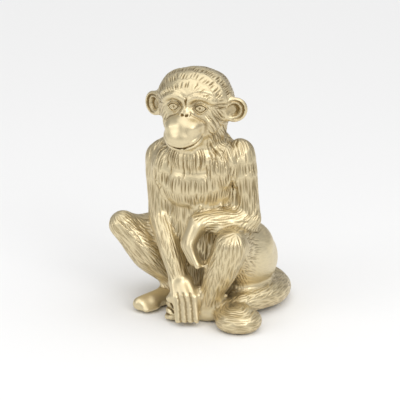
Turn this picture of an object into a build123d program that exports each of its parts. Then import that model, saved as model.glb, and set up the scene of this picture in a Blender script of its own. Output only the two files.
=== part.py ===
"""Seated monkey figurine, 250 mm from the table to its crown.

The torso and the head are hollow resin castings. Ears, arms, legs and tail are cast separately,
pinned with steel dowels and glued on. A plate closes the casting underneath, and felt pads keep
it off the table. The figure faces -Y and its left is +X. All sizes are in millimetres.
"""

import os
from math import cos, radians, sin

from build123d import *

os.makedirs("parts", exist_ok=True)

# Spans of the pose: the places of the skeleton are shares of these three
sitting_height = 250.0
pose_half_width = 100.0
pose_half_depth = 100.0
seat_setback = 18.0

# Casting and fitting
wall = 6.0
glue_clearance = 0.1
cut_overrun = 1.0
ground_gap = 1.0

# Torso casting
torso_width = 92.0
torso_depth = 82.0
chest_width = 84.0
chest_depth = 70.0
chest_height = 66.0
girdle_radius = 15.0
neck_side_radius = 13.0
neck_bore_radius = 13.0
spigot_depth = 9.0
spigot_wall = 5.0
cavity_top_drop = 14.0

# Closing plate underneath
plate_radius = 26.0
plate_thickness = 5.0
plate_ledge = 4.0

# Head casting
skull_width = 75.0
skull_depth = 75.0
skull_height = 71.0
crown_width = 75.0
crown_depth = 66.0
crown_height = 54.0
jaw_width = 63.0
jaw_depth = 58.0
jaw_height = 48.0
muzzle_width = 41.0
muzzle_depth = 38.0
muzzle_height = 29.0
muzzle_top_width = 32.0
muzzle_top_depth = 33.0
muzzle_top_height = 26.0
brow_width = 56.0
brow_depth = 30.0
brow_height = 13.0
nose_width = 13.0
nose_depth = 10.0
nose_height = 9.0

# Ear castings
ear_width = 26.0
ear_height = 25.0
ear_thickness = 9.0
ear_rim = 3.5
ear_dish_depth = 5.5
ear_turn = 28.0

# Arm castings
shoulder_radius = 16.0
upper_arm_radius = 13.5
elbow_radius = 11.0
forearm_radius = 11.2
wrist_radius = 10.2
palm_radius = 7.5
knuckle_radius = 4.3
finger_radius = 3.8
fingertip_radius = 3.2
finger_spacing = 6.0
thumb_radius = 4.0

# Leg castings
hip_radius = 33.5
haunch_radius = 23.0
haunch_length = 30.0
thigh_radius = 27.0
left_knee_radius = 16.5
right_knee_radius = 14.5
left_calf_radius = 15.5
right_calf_radius = 18.0
ankle_radius = 10.5
instep_radius = 8.5
heel_radius = 10.5
ball_radius = 9.5
toe_radius = 3.8
toe_tip_radius = 3.2
toe_length = 8.0
toe_spacing = 5.0

# Tail casting
tail_root_radius = 11.5
tail_coil_radius = 8.5
tail_tip_radius = 9.0
coil_radius = 14.8
coil_end_radius = 5.0
coil_start_angle = 175.0
coil_close_angle = 330.0
coil_end_angle = 480.0
coil_turn = 20.0

# Steel dowels
dowel_radius = 2.5
dowel_length = 26.0
ear_dowel_radius = 1.5
ear_dowel_length = 11.0

# Felt pads
base_pad_radius = 20.0
small_pad_radius = 5.0
pad_thickness = 2.0

# Counts
finger_count = 4
toe_count = 5
coil_point_count = 8
tail_section_count = 28

# Places of the skeleton: shares of the half width, of the half depth and of the height
neck_share = (0.0, 0.010, 0.700)
skull_share = (0.0, -0.060, 0.858)
crown_share = (0.0, -0.100, 0.890)
jaw_share = (0.0, -0.080, 0.752)
muzzle_share = (0.0, -0.395, 0.754)
muzzle_top_share = (0.0, -0.385, 0.794)
brow_share = (0.0, -0.260, 0.916)
nose_share = (0.0, -0.410, 0.858)
chest_share = (0.0, -0.020, 0.538)
right_girdle_share = (-0.280, 0.030, 0.600)
left_girdle_share = (0.300, 0.030, 0.640)
right_neck_side_share = (-0.100, 0.015, 0.690)
right_neck_foot_share = (-0.340, 0.015, 0.622)
left_neck_side_share = (0.100, 0.015, 0.694)
left_neck_foot_share = (0.350, 0.015, 0.660)
ear_share = (0.415, -0.140, 0.848)

right_shoulder_share = (-0.410, 0.020, 0.614)
right_elbow_share = (-0.372, -0.150, 0.388)
right_wrist_share = (-0.045, -0.420, 0.168)
right_knuckle_share = (0.045, -0.530, 0.112)
right_fingertip_share = (0.095, -0.600, 0.028)
right_thumb_share = (-0.110, -0.540, 0.100)

left_shoulder_share = (0.410, 0.020, 0.654)
left_elbow_share = (0.565, -0.070, 0.404)
left_wrist_share = (0.120, -0.380, 0.404)
left_knuckle_share = (0.070, -0.480, 0.332)
left_fingertip_share = (0.170, -0.510, 0.260)
left_thumb_share = (0.200, -0.440, 0.320)

right_hip_share = (-0.420, 0.220, 0.202)
right_knee_share = (-0.755, -0.180, 0.335)
right_ankle_share = (-0.250, 0.010, 0.078)
right_heel_share = (-0.250, 0.000, 0.036)
right_ball_share = (-0.420, -0.270, 0.033)

left_hip_share = (0.420, 0.220, 0.202)
left_knee_share = (0.500, -0.480, 0.340)
left_ankle_share = (0.230, -0.360, 0.080)
left_heel_share = (0.240, -0.350, 0.036)
left_ball_share = (-0.030, -0.390, 0.033)

left_haunch_share = (0.430, 0.230, 0.100)

tail_run_shares = [
    (0.000, 0.460, 0.100),
    (0.030, 0.640, 0.082),
    (0.220, 0.800, 0.056),
    (0.460, 0.810, 0.044),
    (0.640, 0.660, 0.042),
    (0.740, 0.390, 0.052),
    (0.710, 0.100, 0.062),
    (0.580, -0.110, 0.064),
    (0.450, -0.290, 0.054),
]
coil_share = (0.580, -0.440, 0.038)
taper_start_share = 0.5
left_foot_pad_share = (0.100, -0.370)
right_foot_pad_share = (-0.340, -0.135)
tail_pad_share = (0.640, 0.660)

# How far out the pins sit, and the slant of the two rows of fingers
shoulder_pin_share = 0.80
hip_pin_share = 0.94
ear_pin_share = 0.87
right_hand_side_share = (0.94, 0.34, 0.0)
left_hand_side_share = (-0.34, 0.94, 0.0)

# Torso sections from the seat to the neck: height, setback of the centre, half width, half depth
torso_section_shares = [
    (0.004, 0.18, 0.72, 0.76),
    (0.060, 0.19, 0.88, 0.90),
    (0.160, 0.18, 0.94, 0.92),
    (0.290, 0.10, 0.88, 0.84),
    (0.400, 0.05, 0.82, 0.78),
    (0.520, 0.05, 0.90, 0.76),
    (0.610, 0.05, 0.80, 0.66),
    (0.660, 0.03, 0.58, 0.54),
    (0.700, 0.01, 0.47, 0.49),
]


def place(shares):
    """A point of the pose, with the middle of the seat over the origin."""
    return Vector(
        shares[0] * pose_half_width,
        shares[1] * pose_half_depth - seat_setback,
        shares[2] * sitting_height,
    )


ground = Plane.XY.offset(ground_gap)
neck_plane = Plane(place(neck_share))
upward = Vector(0, 0, 1)
sideways = Vector(1, 0, 0)
backward = Vector(0, 1, 0)


def spindle(start, end, start_radius, end_radius, middle_radius=None):
    """A round limb with ball ends, swelling to middle_radius half-way."""
    length = (end - start).length
    middle_radius = middle_radius or (start_radius + end_radius) / 2
    along = (end - start).normalized()
    across = along.cross(sideways if abs(along.Z) > abs(along.X) else upward).normalized()
    with BuildPart() as limb:
        with BuildSketch(Plane(start, x_dir=across, z_dir=across.cross(along))):
            with BuildLine():
                CenterArc((0, 0), start_radius, -90, 90)
                Spline(
                    (start_radius, 0),
                    (middle_radius, length / 2),
                    (end_radius, length),
                    tangents=((0, 1), (0, 1)),
                )
                CenterArc((0, length), end_radius, 0, 90)
                Line((0, length + end_radius), (0, -start_radius))
            make_face()
        revolve(axis=Axis(start, along))
    return limb.part


def ellipsoid(centre, width, depth, height, turn=0, poles=(0, 0, 90)):
    """An ellipsoid of that full size, turned about the vertical, its poles and seam clear of any cut."""
    with BuildPart() as lump:
        Sphere(1, rotation=poles)
        scale(by=(width / 2, depth / 2, height / 2))
    return lump.part.moved(Location(centre, (0, 0, turn)))


def pin(middle, direction, radius, length):
    """A straight round pin about its middle."""
    with BuildPart(Plane(middle, z_dir=direction)) as rod:
        Cylinder(radius, length)
    return rod.part


def disc(centre, radius, thickness):
    """A flat round disc standing on its lower centre."""
    with BuildPart(Plane(centre)) as plate:
        Cylinder(radius, thickness, align=(Align.CENTER, Align.CENTER, Align.MIN))
    return plate.part


def hand(wrist, knuckle, tip, thumb, side):
    """Four fingers in a row from the wrist over the knuckles to their tips, and a thumb."""
    with BuildPart() as whole:
        for finger in range(finger_count):
            shift = side.normalized() * finger_spacing * (finger - (finger_count - 1) / 2)
            add(spindle(wrist + shift / 2, knuckle + shift, palm_radius, knuckle_radius))
            add(spindle(knuckle + shift, tip + shift, finger_radius, fingertip_radius))
        add(spindle((wrist + knuckle) / 2, thumb, palm_radius, thumb_radius))
    return whole.part


def foot(ankle, heel, ball):
    """Heel, instep and a row of toes."""
    forward = (ball - heel).normalized()
    side = forward.cross(upward).normalized()
    toe_height = Vector(0, 0, toe_radius + ground_gap - ball.Z)
    with BuildPart() as whole:
        add(spindle(ankle, (heel + ball) / 2, instep_radius, instep_radius))
        add(spindle(heel, ball, heel_radius, ball_radius))
        for toe in range(toe_count):
            root = ball + toe_height + side * toe_spacing * (toe - (toe_count - 1) / 2)
            reach = forward * (ball_radius + toe_length / 2)
            add(spindle(root, root + reach, toe_radius, toe_tip_radius))
    return whole.part


def torso_loft(inset):
    """The body from the seat to the neck, shrunk by inset all round."""
    with BuildPart() as body:
        for height_share, setback_share, width_share, depth_share in torso_section_shares:
            with BuildSketch(Plane(place((0, setback_share, height_share)))):
                Ellipse(
                    width_share * torso_width / 2 - inset, depth_share * torso_depth / 2 - inset
                )
        loft()
    return body.part


# Pin seats, shared by each dowel and by the holes on both sides of its glued joint
shoulder_pin_reach = shoulder_pin_share * torso_width / 2
hip_pin_reach = hip_pin_share * torso_width / 2
ear_pin_reach = ear_pin_share * skull_width / 2
right_shoulder = place(right_shoulder_share)
left_shoulder = place(left_shoulder_share)
right_shoulder_pin = Vector(-shoulder_pin_reach, right_shoulder.Y, right_shoulder.Z)
left_shoulder_pin = Vector(
    shoulder_pin_reach, left_shoulder.Y, left_shoulder.Z - shoulder_radius / 2
)
right_hip_pin = Vector(-hip_pin_reach, place(right_hip_share).Y, place(right_hip_share).Z)
left_hip_pin = Vector(hip_pin_reach, place(left_hip_share).Y, place(left_hip_share).Z)
right_ear_pin = Vector(-ear_pin_reach, place(ear_share).Y, place(ear_share).Z)
left_ear_pin = Vector(ear_pin_reach, place(ear_share).Y, place(ear_share).Z)
tail_pin = Vector(0, torso_section_shares[1][3] * torso_depth / 2, place(tail_run_shares[0]).Z)
hole_radius = dowel_radius + glue_clearance
ear_hole_radius = ear_dowel_radius + glue_clearance
hole_length = dowel_length + 2 * glue_clearance
ear_hole_length = ear_dowel_length + 2 * glue_clearance


# Torso casting: its closed outside seats the limbs, then it is hollowed and drilled
with BuildPart() as torso_outside:
    add(torso_loft(0))
    add(ellipsoid(place(chest_share), chest_width, chest_depth, chest_height))
    add(spindle(place(right_girdle_share), place(left_girdle_share), girdle_radius, girdle_radius))
    for side, foot_of_side in (
        (right_neck_side_share, right_neck_foot_share),
        (left_neck_side_share, left_neck_foot_share),
    ):
        add(spindle(place(side), place(foot_of_side), neck_side_radius, neck_side_radius))
    split(bisect_by=neck_plane, keep=Keep.BOTTOM)
    split(bisect_by=ground, keep=Keep.TOP)

plate_top = ground_gap + plate_thickness
with BuildPart() as torso_cavity:
    add(torso_loft(wall))
    split(bisect_by=Plane.XY.offset(plate_top + wall), keep=Keep.TOP)
    split(bisect_by=neck_plane.offset(-cavity_top_drop), keep=Keep.BOTTOM)

with BuildPart() as torso_shell:
    add(torso_outside.part)
    add(torso_cavity.part, mode=Mode.SUBTRACT)
    with BuildSketch(neck_plane):
        Circle(neck_bore_radius)
    extrude(amount=-cavity_top_drop - cut_overrun, mode=Mode.SUBTRACT)
    with BuildSketch(ground):
        Circle(plate_radius)
    extrude(amount=plate_thickness, mode=Mode.SUBTRACT)
    with BuildSketch(ground):
        Circle(plate_radius - plate_ledge)
    extrude(amount=plate_thickness + wall + cut_overrun, mode=Mode.SUBTRACT)
    for seat in (right_shoulder_pin, left_shoulder_pin, right_hip_pin, left_hip_pin):
        add(pin(seat, sideways, hole_radius, hole_length), mode=Mode.SUBTRACT)
    add(pin(tail_pin, backward, hole_radius, hole_length), mode=Mode.SUBTRACT)

# Closing plate, with a shallow seat for its felt
with BuildPart() as closing_plate:
    add(disc(Vector(0, 0, ground_gap), plate_radius - glue_clearance, plate_thickness))
    add(disc(Vector(0, 0, 0), base_pad_radius + glue_clearance, pad_thickness), mode=Mode.SUBTRACT)

# Head casting: its closed outside seats the ears, then it is hollowed and gets its spigot
skull_blank = ellipsoid(place(skull_share), skull_width, skull_depth, skull_height)
crown_blank = ellipsoid(place(crown_share), crown_width, crown_depth, crown_height)
with BuildPart() as head_outside:
    add(skull_blank)
    add(crown_blank)
    add(ellipsoid(place(jaw_share), jaw_width, jaw_depth, jaw_height))
    add(ellipsoid(place(muzzle_share), muzzle_width, muzzle_depth, muzzle_height))
    add(ellipsoid(place(muzzle_top_share), muzzle_top_width, muzzle_top_depth, muzzle_top_height))
    add(ellipsoid(place(brow_share), brow_width, brow_depth, brow_height))
    add(ellipsoid(place(nose_share), nose_width, nose_depth, nose_height))
    split(bisect_by=neck_plane, keep=Keep.TOP)
    add(torso_outside.part, mode=Mode.SUBTRACT)

skull_bore_length = place(skull_share).Z - place(neck_share).Z
with BuildPart() as head_cavity:
    with Locations(place(skull_share)):
        Sphere(skull_height / 2 - wall)
    with BuildSketch(neck_plane):
        Circle(neck_bore_radius - spigot_wall)
    extrude(amount=skull_bore_length)

with BuildPart() as head_shell:
    add(head_outside.part)
    add(head_cavity.part, mode=Mode.SUBTRACT)
    with BuildSketch(neck_plane):
        Circle(neck_bore_radius - glue_clearance)
        Circle(neck_bore_radius - spigot_wall, mode=Mode.SUBTRACT)
    extrude(amount=-spigot_depth)
    for seat in (right_ear_pin, left_ear_pin):
        add(pin(seat, sideways, ear_hole_radius, ear_hole_length), mode=Mode.SUBTRACT)


def ear(centre, turn, pin_seat):
    """A round ear, dished in front, cut to sit on the skull."""
    facing = Vector(0, -1, 0).rotate(Axis.Z, turn)
    outer_edge = (0, 0, 0 if centre.X > 0 else 180)
    with BuildPart() as whole:
        add(ellipsoid(centre, ear_width, ear_thickness, ear_height, turn, outer_edge))
        add(
            ellipsoid(
                centre + facing * ear_thickness / 2,
                ear_width - 2 * ear_rim,
                2 * ear_dish_depth,
                ear_height - 2 * ear_rim,
                turn,
                outer_edge,
            ),
            mode=Mode.SUBTRACT,
        )
        add(skull_blank, mode=Mode.SUBTRACT)
        add(crown_blank, mode=Mode.SUBTRACT)
        add(pin(pin_seat, sideways, ear_hole_radius, ear_hole_length), mode=Mode.SUBTRACT)
    return whole.part


left_ear_centre = place(ear_share)
right_ear_centre = Vector(-left_ear_centre.X, left_ear_centre.Y, left_ear_centre.Z)

with BuildPart() as right_ear:
    add(ear(right_ear_centre, -ear_turn, right_ear_pin))

with BuildPart() as left_ear:
    add(ear(left_ear_centre, ear_turn, left_ear_pin))


def pad_centre(shares):
    """Where a small felt pad lies on the table."""
    return place((shares[0], shares[1], 0))


def leg(hip, haunch, knee, ankle, heel, ball, knee_radius, calf_radius, pin_seat, pad_shares):
    """Haunch, if it shows, thigh, shin and foot, flat underneath, cut to sit against the torso."""
    haunch_reach = backward * haunch_length / 2
    with BuildPart() as whole:
        if haunch is not None:
            add(spindle(haunch - haunch_reach, haunch + haunch_reach, haunch_radius, haunch_radius))
        add(spindle(hip, knee, hip_radius, knee_radius, thigh_radius))
        add(spindle(knee, ankle, knee_radius, ankle_radius, calf_radius))
        add(foot(ankle, heel, ball))
        split(bisect_by=ground, keep=Keep.TOP)
        add(torso_outside.part, mode=Mode.SUBTRACT)
        add(pin(pin_seat, sideways, hole_radius, hole_length), mode=Mode.SUBTRACT)
        recess = disc(pad_centre(pad_shares), small_pad_radius + glue_clearance, pad_thickness)
        add(recess, mode=Mode.SUBTRACT)
    return whole.part


# Leg castings
with BuildPart() as right_leg:
    add(
        leg(
            place(right_hip_share),
            None,
            place(right_knee_share),
            place(right_ankle_share),
            place(right_heel_share),
            place(right_ball_share),
            right_knee_radius,
            right_calf_radius,
            right_hip_pin,
            right_foot_pad_share,
        )
    )

with BuildPart() as left_leg:
    add(
        leg(
            place(left_hip_share),
            place(left_haunch_share),
            place(left_knee_share),
            place(left_ankle_share),
            place(left_heel_share),
            place(left_ball_share),
            left_knee_radius,
            left_calf_radius,
            left_hip_pin,
            left_foot_pad_share,
        )
    )


def arm(shoulder, elbow, wrist, knuckle, tip, thumb, side, pin_seat):
    """Upper arm, forearm and hand, cut to sit against the body and the legs it rests on."""
    with BuildPart() as whole:
        add(spindle(shoulder, elbow, shoulder_radius, elbow_radius, upper_arm_radius))
        add(spindle(elbow, wrist, elbow_radius, wrist_radius, forearm_radius))
        add(hand(wrist, knuckle, tip, thumb, side))
        for neighbour in (torso_outside, head_outside, right_leg, left_leg):
            add(neighbour.part, mode=Mode.SUBTRACT)
        add(pin(pin_seat, sideways, hole_radius, hole_length), mode=Mode.SUBTRACT)
    return whole.part


# Arm castings
with BuildPart() as right_arm:
    add(
        arm(
            right_shoulder,
            place(right_elbow_share),
            place(right_wrist_share),
            place(right_knuckle_share),
            place(right_fingertip_share),
            place(right_thumb_share),
            Vector(*right_hand_side_share),
            right_shoulder_pin,
        )
    )

with BuildPart() as left_arm:
    add(
        arm(
            left_shoulder,
            place(left_elbow_share),
            place(left_wrist_share),
            place(left_knuckle_share),
            place(left_fingertip_share),
            place(left_thumb_share),
            Vector(*left_hand_side_share),
            left_shoulder_pin,
        )
    )

# Tail casting: along the floor round the left hip, then a closing spiral in front of the foot
tail_points = [place(shares) for shares in tail_run_shares]
for step in range(coil_point_count):
    angle = coil_start_angle + (coil_end_angle - coil_start_angle) * step / (coil_point_count - 1)
    closing_share = max(0, (angle - coil_close_angle) / (coil_end_angle - coil_close_angle))
    reach = coil_radius + (coil_end_radius - coil_radius) * closing_share
    bearing = radians(angle + coil_turn)
    tail_points.append(place(coil_share) + Vector(cos(bearing), sin(bearing), 0) * reach)

with BuildLine() as tail_line:
    Spline(*tail_points)

with BuildPart() as tail:
    for section in range(tail_section_count):
        along = section / (tail_section_count - 1)
        heading = tail_line.line % along
        centre = tail_line.line @ along
        with BuildSketch(Plane(centre, x_dir=heading.cross(upward), z_dir=heading)):
            taper_share = max(0, (along - taper_start_share) / (1 - taper_start_share))
            Circle(tail_root_radius + (tail_coil_radius - tail_root_radius) * taper_share)
    loft()
    with Locations(tail_line.line @ 1):
        Sphere(tail_tip_radius)
    split(bisect_by=ground, keep=Keep.TOP)
    add(torso_outside.part, mode=Mode.SUBTRACT)
    add(left_leg.part, mode=Mode.SUBTRACT)
    add(pin(tail_pin, backward, hole_radius, hole_length), mode=Mode.SUBTRACT)
    add(
        disc(pad_centre(tail_pad_share), small_pad_radius + glue_clearance, pad_thickness),
        mode=Mode.SUBTRACT,
    )

# Steel dowels
with BuildPart() as right_shoulder_dowel:
    add(pin(right_shoulder_pin, sideways, dowel_radius, dowel_length))

with BuildPart() as left_shoulder_dowel:
    add(pin(left_shoulder_pin, sideways, dowel_radius, dowel_length))

with BuildPart() as right_hip_dowel:
    add(pin(right_hip_pin, sideways, dowel_radius, dowel_length))

with BuildPart() as left_hip_dowel:
    add(pin(left_hip_pin, sideways, dowel_radius, dowel_length))

with BuildPart() as right_ear_dowel:
    add(pin(right_ear_pin, sideways, ear_dowel_radius, ear_dowel_length))

with BuildPart() as left_ear_dowel:
    add(pin(left_ear_pin, sideways, ear_dowel_radius, ear_dowel_length))

with BuildPart() as tail_dowel:
    add(pin(tail_pin, backward, dowel_radius, dowel_length))

# Felt pads, half sunk in what they carry
with BuildPart() as base_felt:
    add(disc(Vector(0, 0, 0), base_pad_radius, pad_thickness))

with BuildPart() as right_foot_felt:
    add(disc(pad_centre(right_foot_pad_share), small_pad_radius, pad_thickness))

with BuildPart() as left_foot_felt:
    add(disc(pad_centre(left_foot_pad_share), small_pad_radius, pad_thickness))

with BuildPart() as tail_felt:
    add(disc(pad_centre(tail_pad_share), small_pad_radius, pad_thickness))

pieces = {
    "torso_shell": torso_shell,
    "closing_plate": closing_plate,
    "head_shell": head_shell,
    "right_ear": right_ear,
    "left_ear": left_ear,
    "right_leg": right_leg,
    "left_leg": left_leg,
    "right_arm": right_arm,
    "left_arm": left_arm,
    "tail": tail,
    "right_shoulder_dowel": right_shoulder_dowel,
    "left_shoulder_dowel": left_shoulder_dowel,
    "right_hip_dowel": right_hip_dowel,
    "left_hip_dowel": left_hip_dowel,
    "right_ear_dowel": right_ear_dowel,
    "left_ear_dowel": left_ear_dowel,
    "tail_dowel": tail_dowel,
    "base_felt": base_felt,
    "right_foot_felt": right_foot_felt,
    "left_foot_felt": left_foot_felt,
    "tail_felt": tail_felt,
}
for name, piece in pieces.items():
    piece.part.label = name
    export_step(piece.part, f"parts/{name}.step")
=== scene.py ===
"""Sitting monkey figurine in champagne-gold paint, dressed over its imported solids.

The nine castings are copied, joined and remeshed into one soft blank. The blank is then modelled
as a sculptor would: brows, eyes, nose, lips, ears, fingers and toes, then rows of combed fur
strokes. Last it is divided along the glue joints, so each casting is a piece of its own again.
"""

import math

import bpy
import numpy as np
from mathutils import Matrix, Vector
from mathutils.bvhtree import BVHTree
from mathutils.kdtree import KDTree


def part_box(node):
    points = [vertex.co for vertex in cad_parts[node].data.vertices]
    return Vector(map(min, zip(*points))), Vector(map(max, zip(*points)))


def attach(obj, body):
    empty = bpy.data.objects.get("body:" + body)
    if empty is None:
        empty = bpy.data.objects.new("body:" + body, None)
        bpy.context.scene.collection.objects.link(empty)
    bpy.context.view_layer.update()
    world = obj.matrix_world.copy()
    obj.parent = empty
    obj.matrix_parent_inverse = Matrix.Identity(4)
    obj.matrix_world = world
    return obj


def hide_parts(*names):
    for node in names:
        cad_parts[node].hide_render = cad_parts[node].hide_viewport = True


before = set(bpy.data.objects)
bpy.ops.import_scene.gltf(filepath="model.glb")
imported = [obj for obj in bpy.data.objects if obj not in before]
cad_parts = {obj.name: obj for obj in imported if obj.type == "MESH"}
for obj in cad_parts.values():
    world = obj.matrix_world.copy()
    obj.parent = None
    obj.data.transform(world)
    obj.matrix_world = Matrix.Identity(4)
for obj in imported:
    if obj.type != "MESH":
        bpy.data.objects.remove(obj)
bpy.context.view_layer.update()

bl_info = {
    "name": "Sitting monkey figurine",
    "version": (1, 0, 0),
    "blender": (4, 5, 0),
    "location": "View3D > Sidebar > Figurine",
    "description": "Dresses the packed monkey figurine with carved fur, gold paint and felt pads",
    "category": "Object",
}

MM = 0.001
LENGTH = {"subtype": "DISTANCE", "unit": "LENGTH", "precision": 5}
BLANK_NAME = "figure_blank"
CASTINGS = (
    "torso_shell", "head_shell", "right_ear", "left_ear", "right_leg", "left_leg", "right_arm",
    "left_arm", "tail",
)
DOWELS = (
    "right_shoulder_dowel", "left_shoulder_dowel", "right_hip_dowel", "left_hip_dowel",
    "right_ear_dowel", "left_ear_dowel", "tail_dowel",
)
FELTS = ("base_felt", "right_foot_felt", "left_foot_felt", "tail_felt")
SIDES = (-1, 1)
# The photograph's camera: what it aims at in millimetres, the width that it sees there in metres,
# its sensor in millimetres and its lens shift as a share of the picture
AIM = (0, -18, 125)
PHOTO_FIELD = 0.4
SENSOR_WIDTH = 36
PHOTO_SHIFT = (0.0025, -0.03)
# Edge of the blank's net while it is rough, in voxels
ROUGH_VOXELS = 1.4
# Share of a faded line's half wave that is left off at each end
FADE_END = 0.12
# Thinning the castings' hidden insides: what it keeps of the net, and how much more it takes there
KEPT_SHARE = 0.56
INSIDE_FIRST = 1000
# Feeling out the gaps between the limbs, for their umber painted shade: points, rays from each,
# where they start and end in millimetres, and the share of rays shut in at which the umber
# painted shade starts and is full
FEELER_COUNT = 20000
FEELER_RAYS = 20
FEELER_START = 1.2
FEELER_REACH = 30
UMBER_FROM, UMBER_FULL = 0.48, 1.05
# Dividing the figure: pitch of the marks on the castings in millimetres, and rounds of votes
MARK_PITCH = 1.3
VOTE_ROUNDS = 12
# Strokes start in the root of a fringe, on fur no thinner than this, and have at least so many
# points, a step in millimetres apart
FRINGE_ROOT = 0.18
THIN_FUR = 0.15
SHORTEST_STROKE = 5
STROKE_STEP = 0.7

# Places on the figure, in millimetres from the middle of the base: it faces -Y, and its left is +X
FACE_CENTRE = (0, -57, 210)
MUZZLE_CENTRE = (0, -57, 191)
MUZZLE_REACH = (20, 19, 18.5)
EYE_CENTRE = (13.4, -57.5, 216.6)
EYE_HALF_WIDTH = 5.4
BROW_CENTRE = (0, -60, 234)
FACE_TURN = 2.2
NECK_TOP = (0, -17, 215)
TAIL_ROUTE = (
    (0, 28, 25),
    (3, 46, 20.5),
    (22, 62, 14),
    (46, 63, 11),
    (64, 48, 10.5),
    (74, 21, 13),
    (71, -8, 15.5),
    (58, -29, 16),
    (45, -47, 13.5),
)
COIL_CENTRE = (58, -62, 9.5)
FINGER_SPACING = 6
ARM_BONES = {
    "right_arm": ((-41, -16, 153.5), (-37, -33, 97), (-4.5, -60, 42), (4.5, -71, 28)),
    "left_arm": ((41, -16, 163.5), (56.5, -25, 101), (12, -56, 101), (7, -66, 83)),
}
LEG_BONES = {
    "right_leg": ((-42, 4, 50.5), (-75.5, -36, 83.75), (-25, -17, 19.5)),
    "left_leg": ((42, 4, 50.5), (50, -66, 85), (23, -54, 20)),
}


class FigurineSizes(bpy.types.PropertyGroup):
    """Sizes of the modelling on the figure."""

    voxel: bpy.props.FloatProperty(
        name="Voxel",
        description="Edge of the remesh that joins the castings into one blank",
        default=0.74 * MM,
        **LENGTH,
    )
    fillet: bpy.props.FloatProperty(
        name="Fillet",
        description="Radius that rounds out the creases between the castings",
        default=3.2 * MM,
        **LENGTH,
    )
    wall: bpy.props.FloatProperty(
        name="Wall",
        description="Wall of the divided castings",
        default=2.0 * MM,
        **LENGTH,
    )
    soften_passes: bpy.props.IntProperty(
        name="Soften passes", description="Smoothing passes over the blank", default=9
    )
    stroke_pitch: bpy.props.FloatProperty(
        name="Stroke pitch",
        description="Distance between neighbouring fur strokes",
        default=2.2 * MM,
        **LENGTH,
    )
    stroke_half_width: bpy.props.FloatProperty(
        name="Stroke half width",
        description="Half the width of a fur stroke",
        default=1.05 * MM,
        **LENGTH,
    )
    stroke_depth: bpy.props.FloatProperty(
        name="Stroke depth",
        description="Depth of a fur stroke",
        default=0.8 * MM,
        **LENGTH,
    )
    tier_height: bpy.props.FloatProperty(
        name="Fringe height",
        description="How far a fringe of fur stands over the next one",
        default=0.25 * MM,
        **LENGTH,
    )
    seed: bpy.props.IntProperty(
        name="Seed", description="Start of the scatter that places the strokes", default=7
    )


class FigurineColours(bpy.types.PropertyGroup):
    """Colours of the finishes, as sRGB hex values."""

    gold: bpy.props.StringProperty(name="Gold", description="Paint on the raised forms", default="E3D6B0")
    # Ochre and umber are painted shade: ochre in the strokes and other recesses, umber in the deep gaps
    # between the limbs
    ochre: bpy.props.StringProperty(name="Ochre", description="Paint in the fur strokes", default="80683A")
    umber: bpy.props.StringProperty(
        name="Umber", description="Paint in the deep gaps between the limbs", default="6A4A1E"
    )
    plate: bpy.props.StringProperty(
        name="Plate", description="Plastic of the closing plate", default="2C2A28"
    )
    steel: bpy.props.StringProperty(name="Steel", description="Steel of the dowels", default="B9BCC0")
    felt: bpy.props.StringProperty(name="Felt", description="Wool felt of the pads", default="4A3B2E")
    floor: bpy.props.StringProperty(name="Floor", description="Paper of the floor", default="F1F1F1")


class FigurineStage(bpy.types.PropertyGroup):
    """Camera of the stage."""

    azimuth: bpy.props.FloatProperty(
        name="Azimuth",
        description="Turn of the camera to the figure's left",
        default=math.radians(20),
        subtype="ANGLE",
        unit="ROTATION",
    )
    elevation: bpy.props.FloatProperty(
        name="Elevation",
        description="Rise of the camera over the table",
        default=math.radians(17),
        subtype="ANGLE",
        unit="ROTATION",
    )
    distance: bpy.props.FloatProperty(
        name="Distance",
        description="Distance from the camera to the figure",
        default=1.3,
        subtype="DISTANCE",
        unit="LENGTH",
    )


def sizes():
    """The sizes that the operators read."""
    return bpy.context.scene.figurine_sizes


def colours():
    """The colours that the operators read."""
    return bpy.context.scene.figurine_colours


def linear(hex_text):
    """A colour socket's value for an sRGB hex colour."""
    channels = [int(hex_text[i : i + 2], 16) / 255 for i in (0, 2, 4)]
    return tuple(
        c / 12.92 if c <= 0.04045 else ((c + 0.055) / 1.055) ** 2.4 for c in channels
    ) + (1.0,)


def add_node(tree, kind, settings=None, values=None, links=None):
    """Adds a node, sets its properties and sockets, and links sockets of it to others' outputs."""
    node = tree.nodes.new(kind)
    for name, value in (settings or {}).items():
        setattr(node, name, value)
    for name, value in (values or {}).items():
        node.inputs[name].default_value = value
    for name, output in (links or {}).items():
        tree.links.new(output, node.inputs[name])
    return node


def new_material(name):
    """An empty node material, its node tree and the coordinates of the object that wears it."""
    material = bpy.data.materials.new(name)
    material.use_nodes = True
    tree = material.node_tree
    tree.nodes.clear()
    return material, tree, add_node(tree, "ShaderNodeTexCoord").outputs["Object"]


def noise(tree, place, size, detail, distortion=0.0):
    """Noise whose clouds are about a size in metres."""
    values = {"Scale": 1 / size, "Detail": detail, "Distortion": distortion}
    return add_node(tree, "ShaderNodeTexNoise", values=values, links={"Vector": place}).outputs["Fac"]


def blend(tree, factor, low, high):
    """A colour between two: the first is a colour or another node's output, the second a colour."""
    values, links = {"B": linear(high)}, {"Factor": factor}
    if isinstance(low, str):
        values["A"] = linear(low)
    else:
        links["A"] = low
    return add_node(tree, "ShaderNodeMix", {"data_type": "RGBA"}, values, links).outputs["Result"]


def between(tree, factor, low, high):
    """A number between two."""
    values = {"To Min": low, "To Max": high}
    return add_node(tree, "ShaderNodeMapRange", values=values, links={"Value": factor}).outputs["Result"]


def bumps(tree, height, strength, depth):
    """Fine bumps up to a depth in metres."""
    values = {"Strength": strength, "Distance": depth}
    return add_node(tree, "ShaderNodeBump", values=values, links={"Height": height}).outputs["Normal"]


def finish(material, values, links):
    """Gives the material its shader."""
    tree = material.node_tree
    shader = add_node(tree, "ShaderNodeBsdfPrincipled", values=values, links=links)
    add_node(tree, "ShaderNodeOutputMaterial", links={"Surface": shader.outputs["BSDF"]})
    return material


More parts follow.
